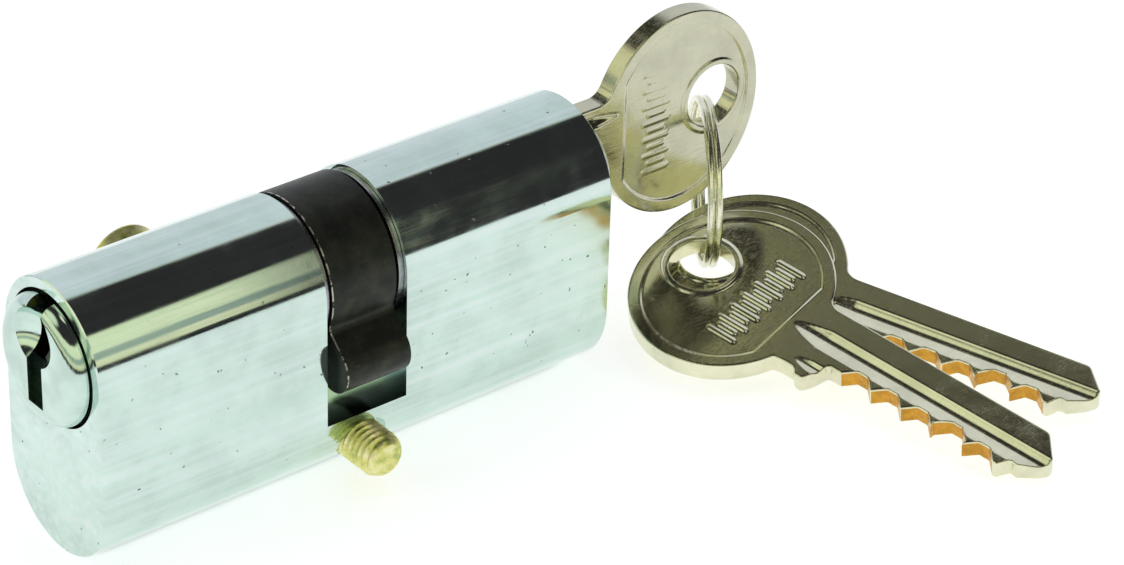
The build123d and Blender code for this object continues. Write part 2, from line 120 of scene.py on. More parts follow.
class Graph:
    """One material's or the world's nodes."""

    def __init__(self, owner):
        owner.use_nodes = True
        self.owner = owner
        self.tree = owner.node_tree
        self.tree.nodes.clear()

    def node(self, kind, settings=None, values=None, output=0):
        made = self.tree.nodes.new("ShaderNode" + kind)
        for name, value in (settings or {}).items():
            if name == "stops":
                ramp = made.color_ramp
                while len(ramp.elements) < len(value):
                    ramp.elements.new(0.5)
                for element, (place, colour) in zip(ramp.elements, value):
                    element.position = place
                    element.color = (*colour, 1)
            else:
                setattr(made, name, value)
        for name, value in (values or {}).items():
            if isinstance(value, Wire):
                self.tree.links.new(value.socket, made.inputs[name])
            elif value is not None:
                made.inputs[name].default_value = value
        return Wire(self, made.outputs[output])

    def place(self, scale=(1, 1, 1), turn=(0, 0, 0), shift=(0, 0, 0)):
        """Object coordinates, turned and stretched."""
        where = self.node("TexCoord", output="Object")
        angles = tuple(math.radians(a) for a in turn)
        values = {"Vector": where, "Scale": scale, "Rotation": angles, "Location": shift}
        return self.node("Mapping", {}, values)

    def noise(self, size, detail=2.0, rough=0.5, stretch=(1, 1, 1), turn=(0, 0, 0), shift=(0, 0, 0)):
        """Noise from 0 to 1 whose lumps are about size across, in metres."""
        spot = self.place(stretch, turn, shift)
        values = {"Vector": spot, "Scale": 1 / size, "Detail": detail, "Roughness": rough}
        return self.node("TexNoise", {}, values)

    def step(self, value, low, high, start=0.0, end=1.0):
        """Smooth change from start to end while value goes from low to high."""
        return self.node(
            "MapRange",
            {"interpolation_type": "SMOOTHSTEP"},
            {"Value": value, "From Min": low, "From Max": high, "To Min": start, "To Max": end},
        )

    def highest(self, first, second):
        return self.node("Math", {"operation": "MAXIMUM"}, {0: first, 1: second})

    def mix(self, factor, first, second):
        """Colour from first to second."""
        pair = {}
        for slot, colour in ((6, first), (7, second)):
            pair[slot] = colour if isinstance(colour, Wire) else (*colour, 1)
        return self.node("Mix", {"data_type": "RGBA"}, {0: factor, **pair}, output=2)

    def axes(self):
        """Object x, y and z."""
        where = self.node("TexCoord", output="Object")
        return [self.node("SeparateXYZ", {}, {0: where}, output=axis) for axis in "XYZ"]

    def cloudy(self, cloud, colour, darker, lighter, top=0.7):
        """The colour, a little darker and lighter in soft patches."""
        lights = tuple(min(1, c * lighter) for c in colour)
        return self.mix(self.step(cloud, 0.3, top), tuple(c * darker for c in colour), lights)

    def bump(self, height, distance, strength):
        return self.node("Bump", {}, {"Height": height, "Distance": distance, "Strength": strength})

    def metal(self, colour, roughness, normal=None, metallic=1.0, extra=None):
        """The surface's shader, joined to the material's output."""
        values = {"Base Color": colour, "Roughness": roughness, "Metallic": metallic, "Normal": normal}
        shader = self.node("BsdfPrincipled", {}, {**values, **(extra or {})})
        self.node_out(shader)
        return self.owner

    def node_out(self, shader, kind="OutputMaterial"):
        end = self.tree.nodes.new("ShaderNode" + kind)
        self.tree.links.new(shader.socket, end.inputs["Surface"])


def new_material(name):
    return Graph(bpy.data.materials.new(name))


# ---- sizes and colours ----
class CylinderFinish(bpy.types.PropertyGroup):
    """Colours of the plated and blackened pieces."""

    chrome: bpy.props.FloatVectorProperty(
        name="Bright plate", description="Body and plugs", subtype="COLOR", default=(0.58, 0.73, 0.66)
    )
    nickel: bpy.props.FloatVectorProperty(
        name="Key plate", description="Keys and split ring", subtype="COLOR", default=(0.78, 0.77, 0.58)
    )
    brass: bpy.props.FloatVectorProperty(
        name="Cut brass", description="Milled cuts and pins", subtype="COLOR", default=(0.58, 0.3, 0.04)
    )
    black: bpy.props.FloatVectorProperty(
        name="Blackened steel", description="Cam", subtype="COLOR", default=(0.022, 0.025, 0.021)
    )
    zinc: bpy.props.FloatVectorProperty(
        name="Yellow zinc", description="Fixing screw", subtype="COLOR", default=(0.74, 0.72, 0.24)
    )


class CylinderSizes(bpy.types.PropertyGroup):
    """Sizes of what is shaped here, in the frame's own metres."""

    screw_r: bpy.props.FloatProperty(
        name="Screw radius", description="Outside of the thread", default=2.5 * MM, unit="LENGTH"
    )
    screw_pitch: bpy.props.FloatProperty(
        name="Thread pitch", description="From crest to crest", default=0.8 * MM, unit="LENGTH"
    )
    screw_depth: bpy.props.FloatProperty(
        name="Thread depth", description="From crest to root", default=0.45 * MM, unit="LENGTH"
    )
    thread_length: bpy.props.FloatProperty(
        name="Threaded length", description="From the tip", default=24 * MM, unit="LENGTH"
    )
    key_thickness: bpy.props.FloatProperty(
        name="Key thickness", description="Blank's thickness", default=2.3 * MM, unit="LENGTH"
    )
    key_edge: bpy.props.FloatProperty(
        name="Key edge", description="Rounding of the key's edges", default=0.2 * MM, unit="LENGTH"
    )
    coin_depth: bpy.props.FloatProperty(
        name="Coined depth", description="Panel below the bow's rim", default=0.16 * MM, unit="LENGTH"
    )


def finish_colours():
    return bpy.context.scene.cylinder_finish


def piece_sizes():
    return bpy.context.scene.cylinder_sizes


def dress(names, material):
    """Give carried-over nodes one material."""
    for name in names:
        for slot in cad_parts[name].material_slots:
            slot.material = material


# ---- materials ----
def bright_plate(name, colour):
    """Polished nickel plate over machined brass: drawn lines, cloudy tone, pits and fine scratches."""
    g = new_material(name)
    drawn = g.noise(0.00009, 3, 0.6, (0.012, 1, 1))
    wide = g.noise(0.0009, 3, 0.55, (0.02, 1, 1))
    cloud = g.noise(0.006, 4, 0.6)
    slant = g.noise(0.00012, 2, 0.5, (1, 1, 0.03), (0, 32, 0))
    pits = g.step(g.noise(0.0007, 1, 0.4, shift=(3, 1, 2)), 0.76, 0.8)
    tone = g.cloudy(cloud, colour, 0.9, 1.06)
    tone = g.mix(g.step(wide, 0.35, 0.75) * 0.35, tone, (0.86, 0.9, 0.93))
    tone = g.mix(pits * 0.8, tone, (0.12, 0.12, 0.11))
    rough = 0.05 + 0.08 * g.step(cloud, 0.35, 0.8) + 0.06 * g.step(drawn, 0.4, 0.8) + 0.2 * pits
    x, y, z = g.axes()
    # painted shade: the body's bore wall in the gap round the nose is darkened
    gap_shade = g.step(((y * y) + (z * z)) ** 0.5, MOUTH_R + 0.05 * MM, MOUTH_R)
    tone = g.mix(gap_shade, tone, (0.03, 0.03, 0.03))
    height = drawn * 0.55 + slant * 0.45 - pits * 2
    normal = g.bump(height, 0.000004, 0.5)
    return g.metal(tone, rough + 0.5 * gap_shade, normal)


def turned_plate(name, colour):
    """The same plate on the plugs' noses, with turning rings about the X axis."""
    g = new_material(name)
    x, y, z = g.axes()
    radius = ((y * y) + (z * z)) ** 0.5
    spot = g.node("CombineXYZ", {}, {"X": radius, "Y": x * 0.2, "Z": 0.0})
    rings = g.node("TexNoise", {}, {"Vector": spot, "Scale": 9000.0, "Detail": 3.0})
    cloud = g.noise(0.003, 3)
    tone = g.cloudy(cloud, colour, 0.88, 1.08)
    # painted shade: the nose's side is darkened where it runs inside the body's end
    gap_shade = g.step(abs(x), BODY_END + 0.1 * MM, BODY_END - 0.2 * MM)
    gap_shade = gap_shade * g.step(radius, NOSE_R - 0.2 * MM, NOSE_R - 0.1 * MM)
    tone = g.mix(gap_shade, tone, (0.03, 0.03, 0.03))
    # painted shade inside the keyway, darkest at its top
    keyway_shade = g.step(abs(y), KEYWAY_HALF + 0.05 * MM, KEYWAY_HALF - 0.02 * MM)
    keyway_shade = keyway_shade * g.step(z, KEYWAY_TOP + 0.1 * MM, KEYWAY_TOP - 0.2 * MM)
    keyway_shade = keyway_shade * g.step(abs(x), NOSE_FACE + 0.05 * MM, NOSE_FACE - 0.2 * MM)
    keyway_shade = keyway_shade * g.step(radius, NOSE_R - 0.6 * MM, NOSE_R - 0.9 * MM)
    keyway_shade = keyway_shade * g.step(z, KEYWAY_LOW, 0.0, 0.5, 0.93)
    tone = g.mix(keyway_shade, tone, (0.02, 0.02, 0.02))
    rough = 0.08 + 0.16 * g.step(rings, 0.35, 0.75) + 0.5 * gap_shade
    return g.metal(tone, rough, g.bump(rings, 0.000006, 0.6))


def black_steel(name, colour):
    """Phosphated steel: fine grain, faint brown-green bloom, bright wear on the near edges."""
    g = new_material(name)
    x, y, z = g.axes()
    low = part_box("cam")[0]
    grain = g.noise(0.00014, 3, 0.7)
    bloom = g.noise(0.0022, 4, 0.6)
    rub = g.noise(0.0005, 3, 0.6, (0.25, 1, 1))
    radius = ((y * y) + (z * z)) ** 0.5
    near = g.step(x, low.x + 0.000004, low.x + 0.00001) * g.step(x, low.x + WORN_WIDTH, low.x + 0.00012)
    ragged = g.step(g.noise(0.0006, 3, 0.7), 0.45, 0.56)
    outer = g.step(radius, WORN_R, WORN_R + 0.15 * MM)
    worn = near * ragged * outer
    tone = g.mix(g.step(bloom, 0.35, 0.75), colour, (0.045, 0.047, 0.034))
    tone = g.mix(g.step(rub, 0.58, 0.8) * 0.5, tone, (0.09, 0.09, 0.07))
    tone = g.mix(worn, tone, (0.62, 0.6, 0.5))
    rough = 0.34 + 0.18 * g.step(grain, 0.3, 0.7) - 0.12 * worn
    return g.metal(tone, rough, g.bump(grain * 0.7 + rub * 0.3, 0.00001, 0.55), 0.75)


def zinc_yellow(name, colour):
    """Yellow chromate over zinc, with its green and pink bloom."""
    g = new_material(name)
    bloom = g.noise(0.0016, 3, 0.6, (1, 0.6, 1))
    spots = g.noise(0.0007, 3, 0.6, shift=(1, 2, 3))
    tone = g.node(
        "ValToRGB",
        {
            "stops": (
                (0.28, (0.36, 0.46, 0.14)),
                (0.44, tuple(colour)),
                (0.58, (0.86, 0.84, 0.44)),
                (0.74, (0.8, 0.52, 0.44)),
            )
        },
        {"Fac": bloom},
    )
    tone = g.mix(g.step(spots, 0.6, 0.74) * 0.5, tone, (0.8, 0.52, 0.5))
    rough = 0.26 + 0.18 * g.step(spots, 0.3, 0.7)
    return g.metal(tone, rough, g.bump(g.noise(0.0002, 3), 0.000008, 0.5), 0.8)


def key_plate(name, colour):
    """Nickel over coined brass: faint cloud, a little darker and lighter in patches, and fine random
    scratches.
    """
    g = new_material(name)
    cloud = g.noise(0.004, 4, 0.6)
    hair = g.noise(0.00016, 2, 0.6, (1, 0.06, 1), (20, 10, 35))
    hair_two = g.noise(0.00016, 2, 0.6, (0.06, 1, 1), (10, 60, 20))
    tone = g.cloudy(cloud, colour, 0.86, 1.05, 0.72)
    tone = g.mix(g.step(hair, 0.62, 0.8) * 0.3, tone, (0.88, 0.84, 0.66))
    rough = 0.1 + 0.12 * g.step(cloud, 0.4, 0.8) + 0.1 * g.step(hair_two, 0.5, 0.4)
    return g.metal(tone, rough, g.bump(hair + hair_two + cloud * 0.3, 0.000005, 0.5))


def cut_brass(name, colour, lines=(1, 1, 0.05)):
    """Bare brass left by a cutter, with its feed lines."""
    g = new_material(name)
    feed = g.noise(0.00012, 2, 0.5, lines)
    cloud = g.noise(0.0012, 3, 0.6)
    tone = g.cloudy(cloud, colour, 0.8, 1.12)
    rough = 0.24 + 0.16 * g.step(feed, 0.3, 0.7)
    return g.metal(tone, rough, g.bump(feed, 0.000008, 0.6))


def plain_steel(name, colour, lines=(1, 1, 1)):
    """Drawn or ground steel."""
    g = new_material(name)
    drawn = g.noise(0.00012, 3, 0.6, lines)
    cloud = g.noise(0.0014, 3, 0.6)
    tone = g.cloudy(cloud, colour, 0.85, 1.08)
    rough = 0.16 + 0.16 * g.step(drawn, 0.3, 0.7)
    return g.metal(tone, rough, g.bump(drawn, 0.000005, 0.5))


# ---- stage ----
# the table top's radius, and how much of its white it gives off by itself
FLOOR_R = 0.36
FLOOR_LIFT = 0.6
# soft lamps that only metal mirrors: direction, size and colour
LAMPS = (
    ((0.2, -0.04, 0.98), 0.17, (1.1, 1.1, 0.86)),
    ((0.21, 0.41, 0.886), 0.04, (0.6, 0.6, 0.34)),
    ((-0.5, 0.22, 0.83), 0.36, (0.86, 0.9, 0.66)),
)


class LOCK_OT_stage(bpy.types.Operator):
    """Camera, floor, world and soft lights"""

    bl_idname = "lock.stage"
    bl_label = "Stage"

    def execute(self, context):
        scene = context.scene
        scene.view_settings.view_transform = "Standard"
        data = bpy.data.cameras.new("studio_camera")
        data.sensor_width = 36
        data.lens = 123.8
        data.shift_x = -0.0072
        data.shift_y = -0.0154
        data.clip_start = 0.01
        camera = bpy.data.objects.new("studio_camera", data)
        right = (0.77452265, -0.63188529, 0.0289074)
        up = (0.30641002, 0.41477285, 0.85678258)
        back = (-0.55337831, -0.65474, 0.51486695)
        place = (-0.198378, -0.274594, 0.202997)
        rows = [(right[i], up[i], back[i], place[i]) for i in range(3)]
        camera.matrix_world = Matrix((*rows, (0, 0, 0, 1)))
        scene.collection.objects.link(camera)
        scene.camera = camera
        self.floor(scene)
        self.sky(scene)
        self.light(scene, "overhead", (0.1, 0.05, 0.9), (0, 0, -0.01), 0.9, 1.5)
        self.light(scene, "left_fill", (-0.7, 0.2, 0.6), (0, 0, 0), 0.5, 0.8)
        return {"FINISHED"}

    def floor(self, scene):
        """A round table top, white up to its rim."""
        low = cad_box[0][2] - 0.00005
        middle = [(a + b) / 2 for a, b in zip(*cad_box)]
        mesh = bpy.data.meshes.new("floor")
        angles = [math.radians(3 * step) for step in range(120)]
        rim = [(FLOOR_R * math.cos(a), FLOOR_R * math.sin(a)) for a in angles]
        corners = [(middle[0] + x, middle[1] + y, low) for x, y in rim]
        mesh.from_pydata(corners, [], [range(len(corners))])
        floor = bpy.data.objects.new("floor", mesh)
        g = new_material("pale_floor")
        tone = g.mix(g.noise(0.01, 3), (0.88, 0.9, 0.9), (0.92, 0.93, 0.93))
        # painted contact shadow: the floor is darkened under the body and its white lift stops there,
        # where no light reaches
        x, y, z = g.axes()
        low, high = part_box("cylinder_body")
        under = g.step(abs(y), 3.4 * MM, 1.2 * MM)
        under = under * g.step(x, low.x + 1 * MM, low.x + 5 * MM) * g.step(x, high.x, high.x - 4 * MM)
        tone = g.mix(under, tone, (0.1, 0.13, 0.15))
        glow = g.mix(under, (1.0, 1.0, 1.0), (0.12, 0.16, 0.18))
        lift = {"Emission Color": glow, "Emission Strength": FLOOR_LIFT}
        mesh.materials.append(g.metal(tone, 0.7, None, 0.0, lift))
        scene.collection.objects.link(floor)

    def sky(self, scene):
        """White to look at, soft on the floor, and a room of dark and bright patches in the metal."""
        world = bpy.data.worlds.new("studio")
        scene.world = world
        g = Graph(world)
        way = g.node("TexCoord", output="Generated")
        x, y, z = [g.node("SeparateXYZ", {}, {0: way}, output=axis) for axis in "XYZ"]
        # dark ceiling towards the back, reaching lower where the loose keys mirror it
        behind = g.step(x, 0.43, 0.37) * g.step(z, 0.64, 0.72)
        ceiling = g.highest(g.step(z, 0.85, 0.89), behind) * g.step(y, 0.12, 0.2)
        tone = g.mix(ceiling, (0.78, 0.8, 0.86), (0.042, 0.044, 0.026))
        # the side of the room in front: dark above and to the right, a window low on the left
        side = g.step(y + 0.75 * x, 0.6, 0.52)
        high = g.step(z, 0.62, 0.67)
        right = g.step(x, 0.485, 0.502)
        pane = g.mix(g.step(z, 0.17, 0.21), (0.93, 0.9, 0.6), (0.4, 0.48, 0.4))
        pane = g.mix(g.step(z, 0.31, 0.35), pane, (1.0, 1.0, 0.7))
        pane = g.mix(g.step(z, 0.06, 0.03), pane, (0.03, 0.03, 0.032))
        tone = g.mix(side, tone, pane)
        dark = side * g.highest(high, right)
        tone = g.mix(dark, tone, (0.034, 0.03, 0.032))
        for centre, size, colour in LAMPS:
            away = g.node("VectorMath", {"operation": "DISTANCE"}, {0: way, 1: centre}, output="Value")
            tone = g.mix(g.step(away, size, size * 0.55), tone, colour)
        tone = g.mix(g.node("LightPath", output="Is Glossy Ray"), (0.3, 0.31, 0.32), tone)
        tone = g.mix(g.node("LightPath", output="Is Camera Ray"), tone, (1.0, 1.0, 1.0))
        shader = g.node("Background", {}, {"Color": tone, "Strength": 1.0})
        g.node_out(shader, "OutputWorld")

    def light(self, scene, name, place, aim, size, watts):
        data = bpy.data.lights.new(name, "AREA")
        data.shape = "DISK"
        data.size = size
        data.energy = watts
        lamp = bpy.data.objects.new(name, data)
        lamp.location = place
        lamp.rotation_euler = (Vector(aim) - Vector(place)).to_track_quat("-Z", "Y").to_euler()
        lamp.visible_glossy = False
        scene.collection.objects.link(lamp)


# ---- pieces ----
def add_piece(name, mesh, body, node):
    """Put a finished mesh in the scene in place of its CAD node."""
    piece = bpy.data.objects.new(name, mesh)
    bpy.context.scene.collection.objects.link(piece)
    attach(piece, body)
    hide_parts(node)
    return piece


class LOCK_OT_housing(bpy.types.Operator):
    """Bright plate on the body, plugs and chamber plugs"""

    bl_idname = "lock.housing"
    bl_label = "Housing"

    def execute(self, context):
        colours = finish_colours()
        dress(["cylinder_body"], bright_plate("bright_plate", tuple(colours.chrome)))
        dress(["front_plug", "rear_plug"], turned_plate("turned_plate", tuple(colours.chrome)))
        dress(["front_chamber_plugs", "rear_chamber_plugs"], cut_brass("plug_brass", tuple(colours.brass)))
        return {"FINISHED"}


class LOCK_OT_cam(bpy.types.Operator):
    """Blackened cam with its clutch halves and retaining rings"""

    bl_idname = "lock.cam"
    bl_label = "Cam and clutch"

    def execute(self, context):
        colours = finish_colours()
        dress(["cam"], black_steel("black_steel", tuple(colours.black)))
        dress(["front_clutch", "rear_clutch", "clutch_pin"], plain_steel("clutch_steel", (0.5, 0.5, 0.5)))
        rings = ["front_retaining_ring", "rear_retaining_ring"]
        dress(rings, plain_steel("ring_steel", (0.36, 0.37, 0.38)))
        return {"FINISHED"}


class LOCK_OT_stacks(bpy.types.Operator):
    """Tumbler pins and springs"""

    bl_idname = "lock.stacks"
    bl_label = "Pins and springs"

    def execute(self, context):
        colours = finish_colours()
        pins = cut_brass("pin_brass", tuple(colours.brass), (0.05, 0.05, 1))
        steel = plain_steel("spring_steel", (0.55, 0.56, 0.57))
        names = [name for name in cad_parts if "_pin_" in name]
        dress(names, pins)
        dress([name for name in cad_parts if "_spring_" in name], steel)
        return {"FINISHED"}


def add_sockets(tree, names):
    """Named inputs for a tree's sizes, and its geometry sockets."""
    tree.interface.new_socket("Geometry", in_out="OUTPUT", socket_type="NodeSocketGeometry")
    tree.interface.new_socket("Geometry", in_out="INPUT", socket_type="NodeSocketGeometry")
    for name, kind in names:
        tree.interface.new_socket(name, in_out="INPUT", socket_type=kind)


class Growth:
    """A Geometry Nodes tree, made one call at a time."""

    def __init__(self, name, inputs):
        self.tree = bpy.data.node_groups.new(name, "GeometryNodeTree")
        add_sockets(self.tree, inputs)
        self.given = self.tree.nodes.new("NodeGroupInput")

    def input(self, name):
        return self.given.outputs[name]

    def node(self, kind, settings=None, values=None, output=0):
        made = self.tree.nodes.new(kind)
        for name, value in (settings or {}).items():
            setattr(made, name, value)
        for name, value in (values or {}).items():
            if isinstance(value, bpy.types.NodeSocket):
                self.tree.links.new(value, made.inputs[name])
            else:
                made.inputs[name].default_value = value
        return made.outputs[output]

    def maths(self, operation, first, second=0.0, third=0.0):
        return self.node("ShaderNodeMath", {"operation": operation}, {0: first, 1: second, 2: third})

    def finish(self, shape):
        """End the tree in plain, dressed geometry."""
        real = self.node("GeometryNodeRealizeInstances", {}, {"Geometry": shape})
        values = {"Geometry": real, "Material": self.input("Material")}
        dressed = self.node("GeometryNodeSetMaterial", {}, values)
        end = self.tree.nodes.new("NodeGroupOutput")
        self.tree.links.new(dressed, end.inputs[0])
        return self.tree

    def grow(self, values):
        """The tree's result as a plain mesh."""
        holder = bpy.data.objects.new("holder", bpy.data.meshes.new("holder"))
        bpy.context.scene.collection.objects.link(holder)
        growth = holder.modifiers.new("growth", "NODES")
        growth.node_group = self.tree
        for item in self.tree.interface.items_tree:
            if item.in_out == "INPUT" and item.name in values:
                growth[item.identifier] = values[item.name]
        shaped = holder.evaluated_get(bpy.context.evaluated_depsgraph_get())
        mesh = bpy.data.meshes.new_from_object(shaped)
        holder.modifiers.clear()
        bpy.data.objects.remove(holder)
        return mesh


THREAD_SIDES = 72
THREAD_ROWS = 24
# fixing screw (mm): whole length, chamfered tip, countersunk head with its rim and dome
SCREW_LENGTH = 49.96
SCREW_TIP = 0.32
HEAD_R, HEAD_CONE, HEAD_RIM, HEAD_DOME = 4.65, 2.4, 0.2, 1.4
DOME_STEPS = 12
# cross recess: half length and half width at its mouth, depth, how much smaller its floor is
CROSS_LONG, CROSS_WIDE, CROSS_DEPTH = 2.3, 0.55, 1.9
CROSS_TAPER_X, CROSS_TAPER_Z = 0.4, 0.2


def thread_tree():
    """An open tube along Z whose wall follows a single-start thread, faded out at both ends."""
    g = Growth(
        "thread",
        (
            ("Radius", "NodeSocketFloat"),
            ("Depth", "NodeSocketFloat"),
            ("Pitch", "NodeSocketFloat"),
            ("Length", "NodeSocketFloat"),
            ("Rows", "NodeSocketInt"),
            ("Material", "NodeSocketMaterial"),
        ),
    )
    counts = {"Vertices X": THREAD_SIDES + 1, "Vertices Y": g.input("Rows")}
    sheet = g.node("GeometryNodeMeshGrid", {}, {"Size X": 1.0, "Size Y": g.input("Length"), **counts})
    spot = g.node("GeometryNodeInputPosition")
    across = g.node("ShaderNodeSeparateXYZ", {}, {0: spot}, output="X")
    upward = g.node("ShaderNodeSeparateXYZ", {}, {0: spot}, output="Y")
    along = g.maths("ADD", upward, g.maths("MULTIPLY", g.input("Length"), 0.5))
    turn = g.maths("ADD", across, 0.5)
    phase = g.maths("FRACT", g.maths("ADD", g.maths("DIVIDE", along, g.input("Pitch")), turn))
    # triangle wave with a narrow flat on the crest and the root
    wave = g.maths("MULTIPLY", g.maths("ABSOLUTE", g.maths("SUBTRACT", phase, 0.5)), 2.0)
    flat = g.node("ShaderNodeMapRange", {}, {"Value": wave, "From Min": 0.1, "From Max": 0.86})
    run_in = g.maths("MULTIPLY", g.input("Pitch"), 0.9)
    start = g.node("ShaderNodeMapRange", {}, {"Value": along, "From Min": 0.0, "From Max": run_in})
    left = g.maths("SUBTRACT", g.input("Length"), along)
    run_out = g.maths("MULTIPLY", g.input("Pitch"), 1.5)
    end = g.node("ShaderNodeMapRange", {}, {"Value": left, "From Min": 0.0, "From Max": run_out})
    # at the tip the crest fades to the root, at the far end the root rises to the shank
    depth = g.maths("MULTIPLY", flat, end)
    depth = g.maths("SUBTRACT", 1.0, g.maths("MULTIPLY", g.maths("SUBTRACT", 1.0, depth), start))
    radius = g.maths("SUBTRACT", g.input("Radius"), g.maths("MULTIPLY", depth, g.input("Depth")))
    angle = g.maths("MULTIPLY", turn, 2 * math.pi)
    place = g.node(
        "ShaderNodeCombineXYZ",
        {},
        {
            "X": g.maths("MULTIPLY", radius, g.maths("COSINE", angle)),
            "Y": g.maths("MULTIPLY", radius, g.maths("SINE", angle)),
            "Z": along,
        },
    )
    shape = g.node("GeometryNodeSetPosition", {}, {"Geometry": sheet, "Position": place})
    g.finish(shape)
    return g


class LOCK_OT_screw(bpy.types.Operator):
    """Fixing screw with a real thread"""

    bl_idname = "lock.screw"
    bl_label = "Fixing screw"

    def execute(self, context):
        sizes = piece_sizes()
        material = zinc_yellow("zinc_yellow", tuple(finish_colours().zinc))
        r, depth, length = sizes.screw_r, sizes.screw_depth, sizes.thread_length
        rows = int(length / sizes.screw_pitch * THREAD_ROWS)
        values = {"Radius": r, "Depth": depth, "Pitch": sizes.screw_pitch, "Length": length, "Rows": rows}
        mesh = thread_tree().grow({**values, "Material": material})
        shell = bmesh.new()
        shell.from_mesh(mesh)
        # tip, shank, countersunk head and its dome, as rings about the axis
        tip = SCREW_TIP * MM
        root = r - depth
        cap = [(root, 0.0), (root - 0.35 * MM, -0.28 * MM), (root - 0.5 * MM, -tip), (0.0, -tip)]
        head, dome = HEAD_R * MM, HEAD_DOME * MM
        crown = SCREW_LENGTH * MM - dome - tip
        rim = crown - HEAD_RIM * MM
        rod = [(r, length), (r, rim - HEAD_CONE * MM), (head, rim), (head, crown)]
        bulge = (head**2 + dome**2) / (2 * dome)
        widest = math.asin(head / bulge)
        for step in range(1, DOME_STEPS + 1):
            angle = widest * (1 - step / DOME_STEPS)
            rod.append((bulge * math.sin(angle), crown + dome - bulge * (1 - math.cos(angle))))
        for line in (cap, rod):
            previous = None
            for radius, high in line:
                if radius < 1e-9:
                    ring = [shell.verts.new((0, 0, high))] * THREAD_SIDES
                else:
                    angles = [2 * math.pi * side / THREAD_SIDES for side in range(THREAD_SIDES)]
                    spots = [(radius * math.cos(a), radius * math.sin(a), high) for a in angles]
                    ring = [shell.verts.new(spot) for spot in spots]
                for side in range(THREAD_SIDES if previous else 0):
                    after = (side + 1) % THREAD_SIDES
                    corners = [previous[side], previous[after], ring[after], ring[side]]
                    shell.faces.new(list(dict.fromkeys(corners)))
                previous = ring
        bmesh.ops.remove_doubles(shell, verts=shell.verts, dist=1e-6)
        bmesh.ops.recalc_face_normals(shell, faces=shell.faces)
        shell.to_mesh(mesh)
        shell.free()
        low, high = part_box("fixing_screw")
        centre = (low + high) / 2
        spin = Matrix.Rotation(math.radians(-90), 4, "X")
        mesh.transform(Matrix.Translation((centre.x, low.y + tip, centre.z)) @ spin)
        mesh.shade_smooth()
        mesh.materials.clear()
        mesh.materials.append(material)
        self.cut_cross(mesh, high.y, centre)
        mesh.set_sharp_from_angle(angle=math.radians(35))
        add_piece("threaded_screw", mesh, "fixing_screw", "fixing_screw")
        return {"FINISHED"}

    def cut_cross(self, mesh, end_y, centre):
        """Cut the tapered cross recess into the head."""
        made = bpy.data.objects.new("screw_blank", mesh)
        bpy.context.scene.collection.objects.link(made)
        cutters = []
        for long_x, long_z in ((CROSS_LONG, CROSS_WIDE), (CROSS_WIDE, CROSS_LONG)):
            tool = bmesh.new()
            bmesh.ops.create_cube(tool, size=2)
            for vert in tool.verts:
                outer = vert.co.y > 0
                vert.co.x *= (long_x if outer else long_x - CROSS_TAPER_X) * MM
                vert.co.z *= (long_z if outer else long_z - CROSS_TAPER_Z) * MM
                vert.co.y = end_y + (0.3 if outer else -CROSS_DEPTH) * MM
                vert.co.x += centre.x
                vert.co.z += centre.z
            shape = bpy.data.meshes.new("cutter")
            tool.to_mesh(shape)
            tool.free()
            cutter = bpy.data.objects.new("cutter", shape)
            bpy.context.scene.collection.objects.link(cutter)
            cutters.append(cutter)
            cut = made.modifiers.new("cut", "BOOLEAN")
            cut.operation = "DIFFERENCE"
            cut.solver = "EXACT"
            cut.object = cutter
        shaped = made.evaluated_get(bpy.context.evaluated_depsgraph_get())
        result = bpy.data.meshes.new_from_object(shaped)
        shell = bmesh.new()
        shell.from_mesh(result)
        shell.to_mesh(mesh)
        shell.free()
        for extra in (made, *cutters):
            bpy.data.objects.remove(extra)


